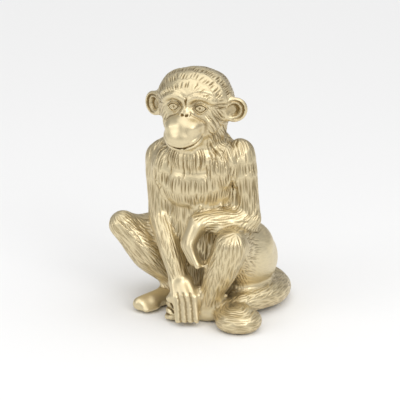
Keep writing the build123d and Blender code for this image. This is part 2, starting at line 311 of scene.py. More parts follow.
def gold_paint():
    """Champagne-gold metallic paint, sprayed over cast resin."""
    # Fine metal flakes give a satin lustre, pale where the light falls. Ochre painted shade lies in the
    # strokes and other recesses, and umber painted shade in the deep gaps between the limbs
    material, tree, place = new_material("champagne_gold_paint")
    painted_shade = add_node(tree, "ShaderNodeAttribute", {"attribute_name": "painted_shade"}).outputs["Fac"]
    hollow = add_node(tree, "ShaderNodeAttribute", {"attribute_name": "hollow"}).outputs["Fac"]
    # Cloudy tone over about 30 mm, from the hand-held spray gun
    colour = blend(tree, noise(tree, place, 30 * MM, 2.0), colours().gold, "DCCAA4")
    # Painted shade: ochre in the strokes, nostrils, mouth, sockets, ears and under the fringes
    colour = blend(tree, painted_shade, colour, colours().ochre)
    # Painted shade: umber deep between the limbs, as far as the skin is shut in there
    colour = blend(tree, hollow, colour, colours().umber)
    # Flake grain is about 0.05 mm; drawn at 0.5 mm so that it shows in the render
    grain = noise(tree, place, 0.5 * MM, 1.0)
    links = {
        "Base Color": colour,
        "Roughness": between(tree, grain, 0.34, 0.44),
        "Normal": bumps(tree, grain, 0.12, 0.05 * MM),
    }
    return finish(material, {"Metallic": 0.85, "Coat Weight": 0.22, "Coat Roughness": 0.28}, links)


def felt_wool():
    """Pressed wool felt, die-cut."""
    # Matted fibres give a soft, mottled, lightless surface with a faint halo at its edges
    material, tree, place = new_material("pressed_wool_felt")
    # Fibres are about 0.03 mm; drawn as 0.6 mm tufts so that they show in the render
    tufts = noise(tree, place, 0.6 * MM, 4.0, distortion=0.8)
    links = {
        "Base Color": blend(tree, tufts, "33281F", colours().felt),
        "Normal": bumps(tree, tufts, 0.6, 0.25 * MM),
    }
    return finish(material, {"Roughness": 0.95, "Sheen Weight": 0.4, "Sheen Roughness": 0.5}, links)


def plate_plastic():
    """Moulded polystyrene of the closing plate."""
    # Fine spark-eroded grain from the mould gives a dull, even, dark face
    material, tree, place = new_material("moulded_polystyrene")
    grain = noise(tree, place, 0.4 * MM, 3.0)
    links = {
        "Base Color": blend(tree, grain, "211F1E", colours().plate),
        "Roughness": between(tree, grain, 0.5, 0.65),
        "Normal": bumps(tree, grain, 0.25, 0.08 * MM),
    }
    return finish(material, {"IOR": 1.59}, links)


def dowel_steel():
    """Ground steel of the dowels."""
    # Centreless grinding leaves fine marks that spread the light
    material, tree, place = new_material("ground_steel")
    # Grinding marks are about 0.02 mm; drawn at 0.5 mm so that they show
    marks = noise(tree, place, 0.5 * MM, 2.0)
    links = {
        "Base Color": blend(tree, marks, "A4A7AB", colours().steel),
        "Roughness": between(tree, marks, 0.22, 0.36),
    }
    return finish(material, {"Metallic": 1.0}, links)


def floor_paper():
    """Matte white background paper."""
    # Uncoated paper scatters the light evenly and shows no gloss
    material, tree, place = new_material("background_paper")
    colour = blend(tree, noise(tree, place, 8 * MM, 3.0), "F2F2F2", colours().floor)
    return finish(material, {"Roughness": 0.95, "Specular IOR Level": 0.1}, {"Base Color": colour})


def select_only(*objects):
    """Makes these objects the only selected ones, the first of them active."""
    bpy.ops.object.select_all(action="DESELECT")
    for obj in objects:
        obj.select_set(True)
    bpy.context.view_layer.objects.active = objects[0]


def blank_object():
    """The figure's blank while it is being modelled."""
    blank = bpy.data.objects.get(BLANK_NAME)
    if blank is None:
        raise RuntimeError("the figure's blank isn't made yet")
    return blank


def rows_of(items, name):
    """A vector of each item of a mesh, as rows of x, y, z."""
    flat = np.empty(len(items) * 3, np.float32)
    items.foreach_get(name, flat)
    return flat.reshape(-1, 3).astype(np.float64)


def points_of(mesh):
    """The mesh's points as rows of x, y, z."""
    return rows_of(mesh.vertices, "co")


def normals_of(mesh):
    """The mesh's outward directions at its points."""
    return rows_of(mesh.vertex_normals, "vector")


def set_points(mesh, points):
    """Moves the mesh's points."""
    mesh.vertices.foreach_set("co", points.astype(np.float32).ravel())
    mesh.update()


def float_attribute(mesh, name):
    """A number per point, made with zeros if it isn't there."""
    attribute = mesh.attributes.get(name) or mesh.attributes.new(name, "FLOAT", "POINT")
    values = np.empty(len(mesh.vertices), np.float32)
    attribute.data.foreach_get("value", values)
    return values


def set_float_attribute(mesh, name, values):
    """Writes a number per point."""
    attribute = mesh.attributes.get(name) or mesh.attributes.new(name, "FLOAT", "POINT")
    attribute.data.foreach_set("value", values.astype(np.float32))


def paint_shade(mesh, values):
    """Notes painted shade in grooves and recesses, from 0 to 1 per point, where it isn't darker yet."""
    set_float_attribute(mesh, "painted_shade", np.maximum(float_attribute(mesh, "painted_shade"), values))


def modify(obj, kind, **settings):
    """Adds a modifier to the active object and applies it."""
    modifier = obj.modifiers.new(kind.lower(), kind)
    for name, value in settings.items():
        setattr(modifier, name, value)
    bpy.ops.object.modifier_apply(modifier=modifier.name)


def separate(obj, kind):
    """Takes an object apart by its loose parts or its materials."""
    select_only(obj)
    bpy.ops.object.mode_set(mode="EDIT")
    bpy.ops.mesh.select_all(action="SELECT")
    bpy.ops.mesh.separate(type=kind)
    bpy.ops.object.mode_set(mode="OBJECT")
    return list(bpy.context.selected_objects)


def tree_of(points):
    """A search tree over points."""
    tree = KDTree(len(points))
    for index, point in enumerate(points):
        tree.insert(point, index)
    tree.balance()
    return tree


def ease(low, high, values):
    """0 below low, 1 above high and a soft rise between them."""
    share = np.clip((values - low) / (high - low), 0, 1)
    return share * share * (3 - 2 * share)


def through(places, step):
    """A smooth line through places in millimetres, as points in metres a step apart."""
    knots = np.array(places, float) * MM
    padded = np.vstack([2 * knots[0] - knots[1], knots, 2 * knots[-1] - knots[-2]])
    line = []
    for i in range(1, len(padded) - 2):
        a, b, c, d = padded[i - 1 : i + 3]
        count = max(2, int(np.linalg.norm(c - b) / step))
        bend, twist = 2 * a - 5 * b + 4 * c - d, 3 * b - a - 3 * c + d
        for t in np.arange(count) / count:
            line.append(0.5 * (2 * b + (c - a) * t + bend * t * t + twist * t**3))
    line.append(knots[-1])
    return np.array(line)


def line_along(places, half_width, depth, fade=True, step=0.4):
    """A line for cut_lines, from places and sizes in millimetres."""
    return through(places, step * MM), half_width * MM, depth * MM, fade


def distance_from(points, place):
    """Each point's distance from a place."""
    return np.linalg.norm(points - np.array(place, float), axis=1)


def beside(points, start, end):
    """How far along a straight line each point lies, from 0 to 1, and its distance from the line."""
    run = end - start
    share = np.clip((points - start) @ run / (run @ run), 0, 1)
    return share, np.linalg.norm(points - start - share[:, None] * run, axis=1)


def from_muzzle(points):
    """How far points in millimetres lie from the muzzle's middle, where 1 is its reach."""
    return np.linalg.norm((points - np.array(MUZZLE_CENTRE)) / np.array(MUZZLE_REACH), axis=1)


def mirrored(places, side):
    """The same places on the left (1) or right (-1) of the face, which turns a little to its left."""
    return [(x * side + FACE_TURN, y, z) for x, y, z in places]


def cut_lines(mesh, lines, note=True):
    """Cuts grooves, or raises ridges where the depth is negative, along lines on the surface.

    Each line is (points, half width, depth, fade), all in metres, and a faded line thins out at
    both of its ends.
    """
    points, normals = points_of(mesh), normals_of(mesh)
    tree = tree_of(points)
    cut = np.zeros(len(points))
    raised = np.zeros(len(points))
    for line, half_width, depth, fade in lines:
        last = max(1, len(line) - 1)
        target = cut if depth > 0 else raised
        for i, point in enumerate(line):
            place = FADE_END + (1 - 2 * FADE_END) * i / last
            share = math.sin(math.pi * place) if fade else 1.0
            near = tree.find(point)[0]
            for _, index, distance in tree.find_range(near, half_width):
                value = abs(depth) * share * (1 - (distance / half_width) ** 2) ** 2
                if value > target[index]:
                    target[index] = value
    set_points(mesh, points + normals * (raised - cut)[:, None])
    # Painted shade in the cut grooves, darkest where they are cut deepest
    if note:
        deepest = max(float(cut.max()), 1e-9)
        paint_shade(mesh, np.clip(cut / min(deepest, MM), 0, 1))


def swell(mesh, spots):
    """Raises or, with a negative height, sinks soft round spots: (place, radius, height) in mm."""
    points, normals = points_of(mesh), normals_of(mesh)
    lift = np.zeros(len(points))
    for place, radius, height in spots:
        distance = distance_from(points, np.array(place, float) * MM) / (radius * MM)
        lift += height * MM * np.exp(-(distance**2))
    set_points(mesh, points + normals * lift[:, None])


def add_lump(place, size):
    """A ball, squeezed to its size, at a place in millimetres."""
    bpy.ops.mesh.primitive_ico_sphere_add(subdivisions=4, radius=0.5, location=Vector(place) * MM)
    lump = bpy.context.object
    lump.scale = Vector(size) * MM
    bpy.ops.object.transform_apply(location=True, rotation=True, scale=True)
    return lump


def add_limb(start, end, start_radius, end_radius):
    """A tapered limb with ball ends between two places in millimetres."""
    start, end = Vector(start) * MM, Vector(end) * MM
    along = end - start
    bpy.ops.mesh.primitive_cone_add(
        vertices=48,
        radius1=start_radius * MM,
        radius2=end_radius * MM,
        depth=along.length,
        location=(start + end) / 2,
        rotation=along.to_track_quat("Z", "Y").to_euler(),
    )
    limb = [bpy.context.object]
    for place, radius in ((start, start_radius), (end, end_radius)):
        limb.append(add_lump(place / MM, (2 * radius,) * 3))
    return limb


class FIGURINE_OT_stage(bpy.types.Operator):
    """Adds the paper floor, the soft studio lights and the camera"""

    bl_idname = "figurine.stage"
    bl_label = "Stage"

    def execute(self, context):
        stage = context.scene.figurine_stage
        bpy.ops.object.select_all(action="DESELECT")
        bpy.ops.mesh.primitive_plane_add(size=8.0, location=(0, 0, 0))
        floor = context.object
        floor.name = "paper_floor"
        floor.data.materials.append(floor_paper())
        target = Vector(AIM) * MM
        outward = Vector(
            (
                math.sin(stage.azimuth) * math.cos(stage.elevation),
                -math.cos(stage.azimuth) * math.cos(stage.elevation),
                math.sin(stage.elevation),
            )
        )
        # A broad soft light overhead, which also whitens the paper
        bpy.ops.object.light_add(type="SUN", location=(0, 0, 2))
        overhead = context.object
        overhead.name = "overhead_light"
        overhead.data.angle = math.radians(100)
        overhead.data.energy = 2.05
        overhead.rotation_euler = (math.radians(12), math.radians(14), 0)
        # Softboxes: a key to the right of the camera and a fill to the left
        for name, place, size, power in (
            ("key_softbox", (0.9, -0.7, 0.75), 0.5, 3.0),
            ("fill_softbox", (-0.8, -0.9, 0.6), 0.5, 2.2),
        ):
            bpy.ops.object.light_add(type="AREA", location=place)
            light = context.object
            light.name = name
            light.data.size = size
            light.data.energy = power
            light.rotation_euler = (target - Vector(place)).to_track_quat("-Z", "Y").to_euler()
        world = context.scene.world or bpy.data.worlds.new("studio_room")
        context.scene.world = world
        world.use_nodes = True
        background = world.node_tree.nodes["Background"]
        background.inputs["Color"].default_value = linear("F5F5F5")
        background.inputs["Strength"].default_value = 0.40
        place = target + outward * stage.distance
        bpy.ops.object.camera_add(
            location=place, rotation=(-outward).to_track_quat("-Z", "Y").to_euler()
        )
        camera = context.object
        camera.name = "photo_camera"
        camera.data.sensor_width = SENSOR_WIDTH
        camera.data.lens = SENSOR_WIDTH * stage.distance / PHOTO_FIELD
        camera.data.shift_x, camera.data.shift_y = PHOTO_SHIFT
        camera.data.clip_end = 20
        context.scene.camera = camera
        context.scene.view_settings.view_transform = "Standard"
        return {"FINISHED"}


class FIGURINE_OT_blank(bpy.types.Operator):
    """Joins copies of the castings and soft lumps into one smooth blank"""

    bl_idname = "figurine.blank"
    bl_label = "Blank"

    def execute(self, context):
        bpy.ops.object.select_all(action="DESELECT")
        copies = []
        for name in CASTINGS:
            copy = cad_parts[name].copy()
            copy.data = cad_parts[name].data.copy()
            copy.parent = None
            context.scene.collection.objects.link(copy)
            copies.append(copy)
            if name == "left_arm":
                self.lay_thumb(copy.data)
        # A plug closes the torso's hollow over the plate, so that only the outside is kept
        bpy.ops.mesh.primitive_cylinder_add(
            vertices=96, radius=24 * MM, depth=5 * MM, location=Vector((0, 0, 9.4)) * MM
        )
        copies.append(context.object)
        # Soft forms that round off the joints, in millimetres: place and size
        for place, size in (
            ((0, -24, 168), (62, 54, 24)),
            ((0, -3, 148), (92, 46, 58)),
            ((0, -12, 172), (64, 52, 34)),
            ((0, -32, 162), (60, 46, 38)),
            ((-26, -30, 147), (38, 38, 52)),
            ((27, -30, 152), (38, 38, 52)),
            ((0, -47, 197), (44, 34, 36)),
            ((37, -18, 163), (30, 34, 30)),
            ((-14, -43, 199), (26, 28, 32)),
            ((16, -43, 199), (26, 28, 32)),
            ((1, -56, 195), (35, 36, 27)),
            ((-9, -57, 197.5), (21, 31, 21)),
            ((10, -57, 197.5), (21, 31, 21)),
            ((-12, -26, 228), (46, 56, 40)),
            ((11, -26, 228), (46, 56, 40)),
            ((43, -17, 117), (26, 30, 56)),
            ((57, -62, 13), (36, 36, 22)),
            ((-10, -69, 6), (10, 10, 9)),
            ((-12.5, -65, 10.5), (11, 11, 9)),
            ((-13.5, -61, 16), (11, 11, 9)),
            ((-12, -58, 21.5), (11, 11, 9)),
        ):
            copies.append(add_lump(place, size))
        for start, end, start_radius, end_radius in (
            ((-28, -20, 10.5), (-50, -56, 8.6), 9.5, 7.6),
            ((46, -52, 85), (48, -10, 66), 16.5, 28),
            ((-3, -62, 38), (4, -70, 29), 9.5, 7),
            ((-18, -8, 175), (-40, -12, 156), 10, 15),
            ((16, -3, 168), (37, -8, 158), 10, 13),
            ((12, -57, 99), (5.5, -66, 83), 10, 8.5),
            ((5.5, -66, 83), (13, -69, 68), 8, 6.5),
        ):
            copies += add_limb(start, end, start_radius, end_radius)
        select_only(*copies)
        bpy.ops.object.join()
        blank = context.object
        blank.name = BLANK_NAME
        blank.data.materials.clear()
        bpy.ops.object.mode_set(mode="EDIT")
        bpy.ops.mesh.select_all(action="SELECT")
        bpy.ops.mesh.remove_doubles(threshold=0.002 * MM)
        bpy.ops.object.mode_set(mode="OBJECT")
        modify(blank, "REMESH", mode="VOXEL", voxel_size=ROUGH_VOXELS * sizes().voxel)
        blank = self.outer_skin(blank)
        # Swelling the skin and shrinking it again leaves a fillet in every crease
        for strength, voxels in ((sizes().fillet, ROUGH_VOXELS), (-sizes().fillet, 1.0)):
            modify(blank, "DISPLACE", strength=strength, mid_level=0)
            modify(blank, "REMESH", mode="VOXEL", voxel_size=voxels * sizes().voxel)
        blank = self.outer_skin(blank)
        modify(blank, "SMOOTH", factor=0.5, iterations=sizes().soften_passes)
        # Hands, feet, back, muzzle, crown and creases are rubbed smoother: place and radius in
        # millimetres, and passes
        for place, radius, passes in (
            ((9, -66, 82), 24, 150),
            ((5, -73, 22), 17, 22),
            ((9, -78, 6), 11, 28),
            ((42, -52, 20), 15, 44),
            ((0, 8, 164), 46, 44),
            ((0, -63, 195), 25, 40),
            ((0, -28, 238), 42, 60),
            ((-42, -44, 9), 26, 80),
            ((32, -38, 117), 22, 60),
            ((-4, -52, 112), 36, 38),
        ):
            self.rub(blank, place, radius, passes)
        # The creases between the arms and the chest
        left_crease = ((29, -36, 171), (35, -36, 155), (41, -36, 137), (44, -36, 123), (44, -38, 113))
        right_crease = ((-33, -38, 146), (-30, -40, 131), (-25, -40, 113), (-20, -40, 103))
        creases = [line_along(crease, 4.2, 2.4, step=1.0) for crease in (left_crease, right_crease)]
        cut_lines(blank.data, creases, note=False)
        # The notch between the jaw and the left shoulder
        swell(blank.data, [((25, -16, 180), 8, -6)])
        bpy.ops.object.shade_smooth()
        return {"FINISHED"}

    def lay_thumb(self, mesh):
        """Lays the left thumb against the fingers, clear of the knee."""
        points = points_of(mesh) / MM
        root, tip = np.array((9.5, -61, 92)), np.array((20, -62, 80))
        share, distance = beside(points, root, tip)
        moved = np.where(distance < 7, share, 0)[:, None] * (-9, -4, -6)
        set_points(mesh, (points + moved) * MM)

    def rub(self, blank, place, radius, passes):
        """Smooths the skin round a place, and less towards the edge of the radius."""
        distance = distance_from(points_of(blank.data) / MM, place)
        weight = 1 - ease(0.6, 1.0, distance / radius)
        group = blank.vertex_groups.new(name="rubbed")
        for index in np.flatnonzero(weight > 0.01):
            group.add([int(index)], float(weight[index]), "REPLACE")
        modify(blank, "SMOOTH", vertex_group=group.name, factor=0.9, iterations=passes)
        blank.vertex_groups.clear()

    def outer_skin(self, blank):
        """Drops the shells of the hollows inside and keeps the outer skin."""
        shells = sorted(separate(blank, "LOOSE"), key=lambda o: len(o.data.vertices))
        skin = shells.pop()
        for shell in shells:
            bpy.data.objects.remove(shell)
        skin.name = BLANK_NAME
        select_only(skin)
        return skin


class FIGURINE_OT_face(bpy.types.Operator):
    """Models the brows, eyes, nose and lips"""

    bl_idname = "figurine.face"
    bl_label = "Face"

    def execute(self, context):
        blank = blank_object()
        mesh = blank.data
        # A finer net where the small features are
        select_only(blank)
        bpy.ops.object.mode_set(mode="EDIT")
        bpy.ops.mesh.select_all(action="DESELECT")
        bpy.ops.object.mode_set(mode="OBJECT")
        centres = np.empty(len(mesh.polygons) * 3, np.float32)
        mesh.polygons.foreach_get("center", centres)
        x, y, z = (centres.reshape(-1, 3) / MM).T
        eyes = (y < -45) & (np.abs(x) < 23) & (z > 207) & (z < 226)
        lips = (y < -54) & (np.abs(x) < 20) & (z > 172) & (z < 190)
        mesh.polygons.foreach_set("select", eyes | lips)
        bpy.ops.object.mode_set(mode="EDIT")
        bpy.ops.mesh.select_mode(type="FACE")
        bpy.ops.mesh.subdivide(number_cuts=1)
        bpy.ops.mesh.vertices_smooth(factor=0.5, repeat=4)
        bpy.ops.object.mode_set(mode="OBJECT")
        # Sockets, cheeks and the wings of the nose
        spots = []
        for side in SIDES:
            spots += [
                ((side * 8.5 + FACE_TURN, -60, 218.5), 6.0, -3.4),
                ((side * 15.5 + FACE_TURN, -56, 217), 8.0, -1.8),
                ((side * 22 + FACE_TURN, -50, 205), 8, 1.2),
                ((side * 4.3 + FACE_TURN, -61, 211.3), 2.6, 1.1),
            ]
        swell(mesh, spots)
        # Brow ridges and the second fold over them
        ridges = []
        for side in SIDES:
            brow = mirrored(((3, -61, 222.5), (9, -61, 227.5), (17, -56.5, 227), (24, -48, 221)), side)
            fold = mirrored(((2, -60, 229.5), (10, -58, 233.5), (19, -53, 232), (27, -44, 225)), side)
            ridges += [line_along(brow, 4.6, -3.2), line_along(fold, 3.2, -1.2)]
        cut_lines(mesh, ridges)
        self.eyes(mesh)
        # Nostrils, frown and the fold between cheek and muzzle
        frown = mirrored(((0, -62, 227), (0, -62, 218)), 1)
        lines = [line_along(frown, 1.5, 1.2)]
        for side in SIDES:
            nostril = mirrored(((1.9, -64, 210.2), (3.1, -63.5, 210.4)), side)
            fold = mirrored(((6.5, -60, 211), (13, -58, 207.5), (18.5, -55, 202), (20, -54, 191)), side)
            wing = mirrored(((6.0, -60.5, 213.5), (6.6, -60.5, 211), (5.2, -62, 209.2)), side)
            lines.append(line_along(nostril, 1.8, 1.5, fade=False))
            lines += [line_along(fold, 1.9, 0.8), line_along(wing, 1.0, 0.7)]
        cut_lines(mesh, lines)
        # Lips: a ridge over and under the mouth's line, and the crease over the chin
        mouth = ((20, -57, 190), (14, -67, 183.8), (7, -72, 180.5), (0, -73.5, 179.6))
        mouth = mirrored(mouth, 1) + mirrored(mouth[-2::-1], -1)
        upper = [(px, py, pz + 3.2) for px, py, pz in mouth]
        lower = [(px * 0.94, py + 1, pz - 3.0) for px, py, pz in mouth]
        chin = [(px * 0.88, py + 4, pz - 6.2) for px, py, pz in mouth]
        cut_lines(mesh, [line_along(upper, 2.8, -0.9), line_along(lower, 2.6, -1.4)])
        cut_lines(mesh, [line_along(mouth, 1.5, 1.9), line_along(chin, 1.7, 1.0)])
        # The muzzle is narrower on its left than the casting's
        points = points_of(mesh) / MM
        points[:, 0] -= 3.0 * (1 - ease(1.0, 1.4, from_muzzle(points))) * ease(0, 14, points[:, 0])
        set_points(mesh, points * MM)
        return {"FINISHED"}

    def eyes(self, mesh):
        """An almond eye with lids and a drilled pupil on each side."""
        points, normals = points_of(mesh) / MM, normals_of(mesh)
        lift, dark = np.zeros(len(points)), np.zeros(len(points))
        for side in SIDES:
            centre = np.array(mirrored([EYE_CENTRE], side)[0])
            distance = distance_from(points, centre)
            near = distance < 13
            outward = normals[distance < 4].mean(axis=0)
            across = np.cross((0, 0, 1), outward)
            across = across / np.linalg.norm(across) * side
            upward = np.cross(outward, across) * side
            offset = points[near] - centre
            u, v = offset @ across, offset @ upward - 0.06 * (offset @ across)
            beyond = np.abs(u) - EYE_HALF_WIDTH
            opening = 3.6 * (1 - np.clip(np.abs(u) / EYE_HALF_WIDTH, 0, 1) ** 2) - 0.2
            edge = np.where(np.abs(u) < EYE_HALF_WIDTH, opening, -beyond) - np.abs(v)
            open_eye = ease(-0.3, 0.5, edge)
            ball = 2.9 * np.sqrt(np.clip(1 - (u / 5.8) ** 2 - (v / 4.8) ** 2, 0, 1)) * open_eye
            lid = np.where(v > 0, 2.6, 2.0) * np.exp(-(((edge + 1.3) / 0.95) ** 2))
            rim = 0.7 * np.exp(-((edge / 0.4) ** 2))
            round_pupil = np.hypot(u + 0.4, v)
            iris = 0.4 * np.exp(-(((round_pupil - 2.4) / 0.35) ** 2))
            pupil = 1 - ease(0.8, 1.5, round_pupil) + iris
            lift[near] += ball + lid - rim - pupil
            # Painted shade in the socket, most beside the nose, in the creases of both lids, and in the
            # cut rim and drilled pupil
            cuts = np.clip(0.6 * rim + 0.8 * pupil, 0, 1)
            shade = 0.6 * np.exp(-(((u + 3.5) / 6.5) ** 2) - ((v - 1.2) / 5.0) ** 2)
            shade *= 1 - 0.6 * open_eye
            crease = 0.5 * np.exp(-(((v - 4.9) / 1.4) ** 2)) + 0.35 * np.exp(-(((v + 4.9) / 1.0) ** 2))
            crease *= np.exp(-((u / 6.0) ** 2))
            dark[near] = np.maximum.reduce([dark[near], cuts, shade, crease])
        set_points(mesh, (points + normals * lift[:, None]) * MM)
        paint_shade(mesh, dark)


class FIGURINE_OT_ears(bpy.types.Operator):
    """Models the folds in the ears"""

    bl_idname = "figurine.ears"
    bl_label = "Ears"

    def execute(self, context):
        mesh = blank_object().data
        lines = []
        for side in SIDES:
            turn = math.radians(28) * side
            across = np.array((math.cos(turn), math.sin(turn), 0.0)) * side
            centre = np.array((41.5 * side, -32.0, 212.0)) - np.array((0, 3.0, 0))
            for reach, half_width, depth in ((9.0, 1.9, 1.4), (6.6, 1.6, -1.0), (3.8, 2.0, 1.4)):
                arc = [
                    centre + across * reach * math.cos(a) + np.array((0, 0, 1)) * reach * math.sin(a)
                    for a in np.radians((-95, -50, 0, 50, 95, 130))
                ]
                lines.append(line_along(arc, half_width, depth))
        cut_lines(mesh, lines)
        # Painted shade inside the ears
        for side in SIDES:
            distance = distance_from(points_of(mesh) / MM, (42.5 * side, -36, 212))
            paint_shade(mesh, 0.5 * (1 - ease(4, 9.5, distance)))
        return {"FINISHED"}


class FIGURINE_OT_hands_feet(bpy.types.Operator):
    """Parts the fingers and toes"""

    bl_idname = "figurine.hands_feet"
    bl_label = "Hands and feet"

    def execute(self, context):
        mesh = blank_object().data
        lines = []
        # Between the fingers: the way their row runs, the middle gap, half width, depth and fade
        right_gap = ((3.5, -72, 32), (6, -74.5, 27), (8, -77.5, 18), (10, -80.5, 8), (10.5, -79, 3))
        left_gap = ((4, -68, 88), (4, -71, 80), (10, -73, 72), (16, -73, 64))
        for row, gap, half_width, depth, fade in (
            ((0.94, 0.34, 0), right_gap, 1.7, 0.8, False),
            ((-0.34, 0.94, 0), left_gap, 1.5, 0.5, True),
        ):
            for offset in (-FINGER_SPACING, 0, FINGER_SPACING):
                finger_gap = [np.array(p) + np.array(row) * offset for p in gap]
                lines.append(line_along(finger_gap, half_width, depth, fade))
        for height, back in ((8, 0), (13.3, 3.5), (18.8, 7)):
            toe_gap = ((-19, -63 + back, height), (-15.5, -70 + back, height), (-7, -74 + back, height))
            lines.append(line_along(toe_gap, 1.5, 1.2))
        cut_lines(mesh, lines)
        return {"FINISHED"}


def casting_marks(points):
    """For each point, the number of the casting whose solid lies nearest."""
    samples, owners = [], []
    rng = np.random.default_rng(sizes().seed)
    for number, name in enumerate(CASTINGS):
        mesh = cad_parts[name].data
        mesh.calc_loop_triangles()
        corners = np.empty(len(mesh.loop_triangles) * 3, np.int32)
        mesh.loop_triangles.foreach_get("vertices", corners)
        triangles = points_of(mesh)[corners.reshape(-1, 3)]
        normal = np.cross(triangles[:, 1] - triangles[:, 0], triangles[:, 2] - triangles[:, 0])
        area = np.linalg.norm(normal, axis=1) / 2
        count = int(area.sum() / (MARK_PITCH * MM) ** 2)
        chosen = rng.choice(len(area), count, p=area / area.sum())
        a, b = rng.random(count), rng.random(count)
        a, b = np.where(a + b > 1, 1 - a, a), np.where(a + b > 1, 1 - b, b)
        t = triangles[chosen]
        samples.append(t[:, 0] + (t[:, 1] - t[:, 0]) * a[:, None] + (t[:, 2] - t[:, 0]) * b[:, None])
        owners.append(np.full(count, number))
    tree = tree_of(np.vstack(samples))
    owners = np.concatenate(owners)
    return owners[[tree.find(p)[1] for p in points]]


def along_bones(points, bones):
    """Directions along the nearest of a limb's bones, and the number of that bone."""
    directions = np.zeros_like(points)
    weights = np.zeros(len(points))
    nearest = np.full(len(points), 1e9)
    number = np.zeros(len(points), int)
    for i, (start, end) in enumerate(zip(bones[:-1], bones[1:])):
        start, end = np.array(start, float), np.array(end, float)
        run = end - start
        _, distance = beside(points, start, end)
        weight = 1 / np.maximum(distance, 1) ** 4
        directions += weight[:, None] * run / np.linalg.norm(run)
        weights += weight
        number = np.where(distance < nearest, i, number)
        nearest = np.minimum(distance, nearest)
    return directions / weights[:, None], number


def flow_of_fur(points, normals, marks):
    """Per point in mm: which way the fur lies, how strong and how long its strokes are, and the
    place along a fringe, from 0 at its root to 1 at its tip, or below 0 where there is none."""
    flow = np.zeros_like(points)
    strength = np.zeros(len(points))
    length = np.full(len(points), 10.0)
    fringe = np.full(len(points), -1.0)
    x, y, z = points.T
    wave = 1.3 * np.sin(x * 0.45 + z * 0.13 + y * 0.2) + 0.9 * np.sin(x * 1.13 + y * 0.71)

    def on(name):
        return marks == CASTINGS.index(name)

    head = on("head_shell")
    radial = points - np.array(FACE_CENTRE)
    reach = np.linalg.norm(radial, axis=1)
    cheek = points - np.array(BROW_CENTRE)
    low_face = 1 - ease(214, 224, z)
    radial = radial + low_face[:, None] * (cheek - radial)
    back = ease(-28, 5, y)
    radial = radial / np.linalg.norm(radial, axis=1)[:, None]
    flow[head] = ((1 - back)[:, None] * radial + back[:, None] * (0, 0.2, -1))[head]
    same_side = np.where(x[:, None] > 0, (1, 1, 1), (-1, 1, 1))
    eye = distance_from(points, np.array(EYE_CENTRE) * same_side)
    muzzle = ease(1.06, 1.16, from_muzzle(points))
    bare = np.minimum.reduce([muzzle, ease(8.5, 11, eye), ease(13, 17, reach)])
    bare = np.where(z > 219, np.minimum(bare, ease(23.5, 26, reach)), bare)
    strength[head] = 1.35 * bare[head]
    brow_row = (reach + 0.4 * wave - 25) / 9
    crown = head & (z > 222) & (brow_row > 0) & (brow_row < 3)
    fringe[crown] = (brow_row % 1)[crown]
    length[head] = np.where(z < 222, 20.0, 9.0)[head]

    torso = on("torso_shell")
    flow[torso] = (points - np.array(NECK_TOP))[torso]
    strength[torso] = (1.0 + 0.35 * ease(120, 140, z))[torso]
    necklace = z - 0.006 * x**2 + 0.8 * wave
    ledges = (176.0, 164.6, 156.7, 142.7, 128.0, 113.0)
    for top, foot in zip(ledges[:-1], ledges[1:]):
        band = torso & (necklace <= top) & (necklace > foot)
        fringe[band] = ((top - necklace) / (top - foot))[band]
        length[band] = (top - foot) * 0.85
    low = torso & (necklace <= ledges[-1])
    length[low] = 13.0
    strength[torso] *= (1 - 0.75 * ease(60, 35, z) * ease(-30, -50, y))[torso]

    for name, bones in ARM_BONES.items():
        arm = on(name)
        flow[arm], bone = along_bones(points[arm], bones)
        strength[arm] = np.where(bone < 2, 1.1 if name == "left_arm" else 0.85, 0.0)
        length[arm] = 15.0
        top, foot = (172, 158) if name == "left_arm" else (162, 148)
        for high, low_edge in ((top, foot), (foot, foot - 14)):
            band = arm & (z + wave <= high) & (z + wave > low_edge) & (y < 10)
            fringe[band] = ((high - z - wave) / (high - low_edge))[band]
            length[band] = 12.0

    for name, bones in LEG_BONES.items():
        leg = on(name)
        hip, knee, ankle = (np.array(b, float) for b in bones)
        shin = ankle - knee
        _, from_shin = beside(points[leg], knee, ankle)
        on_shin = 1 - ease(17, 20, from_shin)
        flow[leg] = on_shin[:, None] * shin / np.linalg.norm(shin) + (1 - on_shin)[:, None] * (
            (hip - knee) / np.linalg.norm(hip - knee)
        )
        thigh = 1 - 0.85 * ease(24, 38, from_shin)
        strength[leg] = np.where(on_shin > 0.5, 0.9, thigh) * ease(16, 22, z[leg])
        length[leg] = np.where(on_shin > 0.5, 13.0, 9.0)

    tail = on("tail")
    coil = [
        np.array(COIL_CENTRE) + np.array((math.cos(a), math.sin(a), 0)) * r
        for a, r in zip(np.radians(np.arange(195, 500, 24)), np.linspace(14.8, 5, 13))
    ]
    flow[tail], _ = along_bones(points[tail], list(TAIL_ROUTE) + coil)
    strength[tail] = 0.85
    length[tail] = 11.0

    flow -= normals * np.sum(flow * normals, axis=1)[:, None]
    flow /= np.maximum(np.linalg.norm(flow, axis=1), 1e-6)[:, None]
    return flow, strength, length, fringe


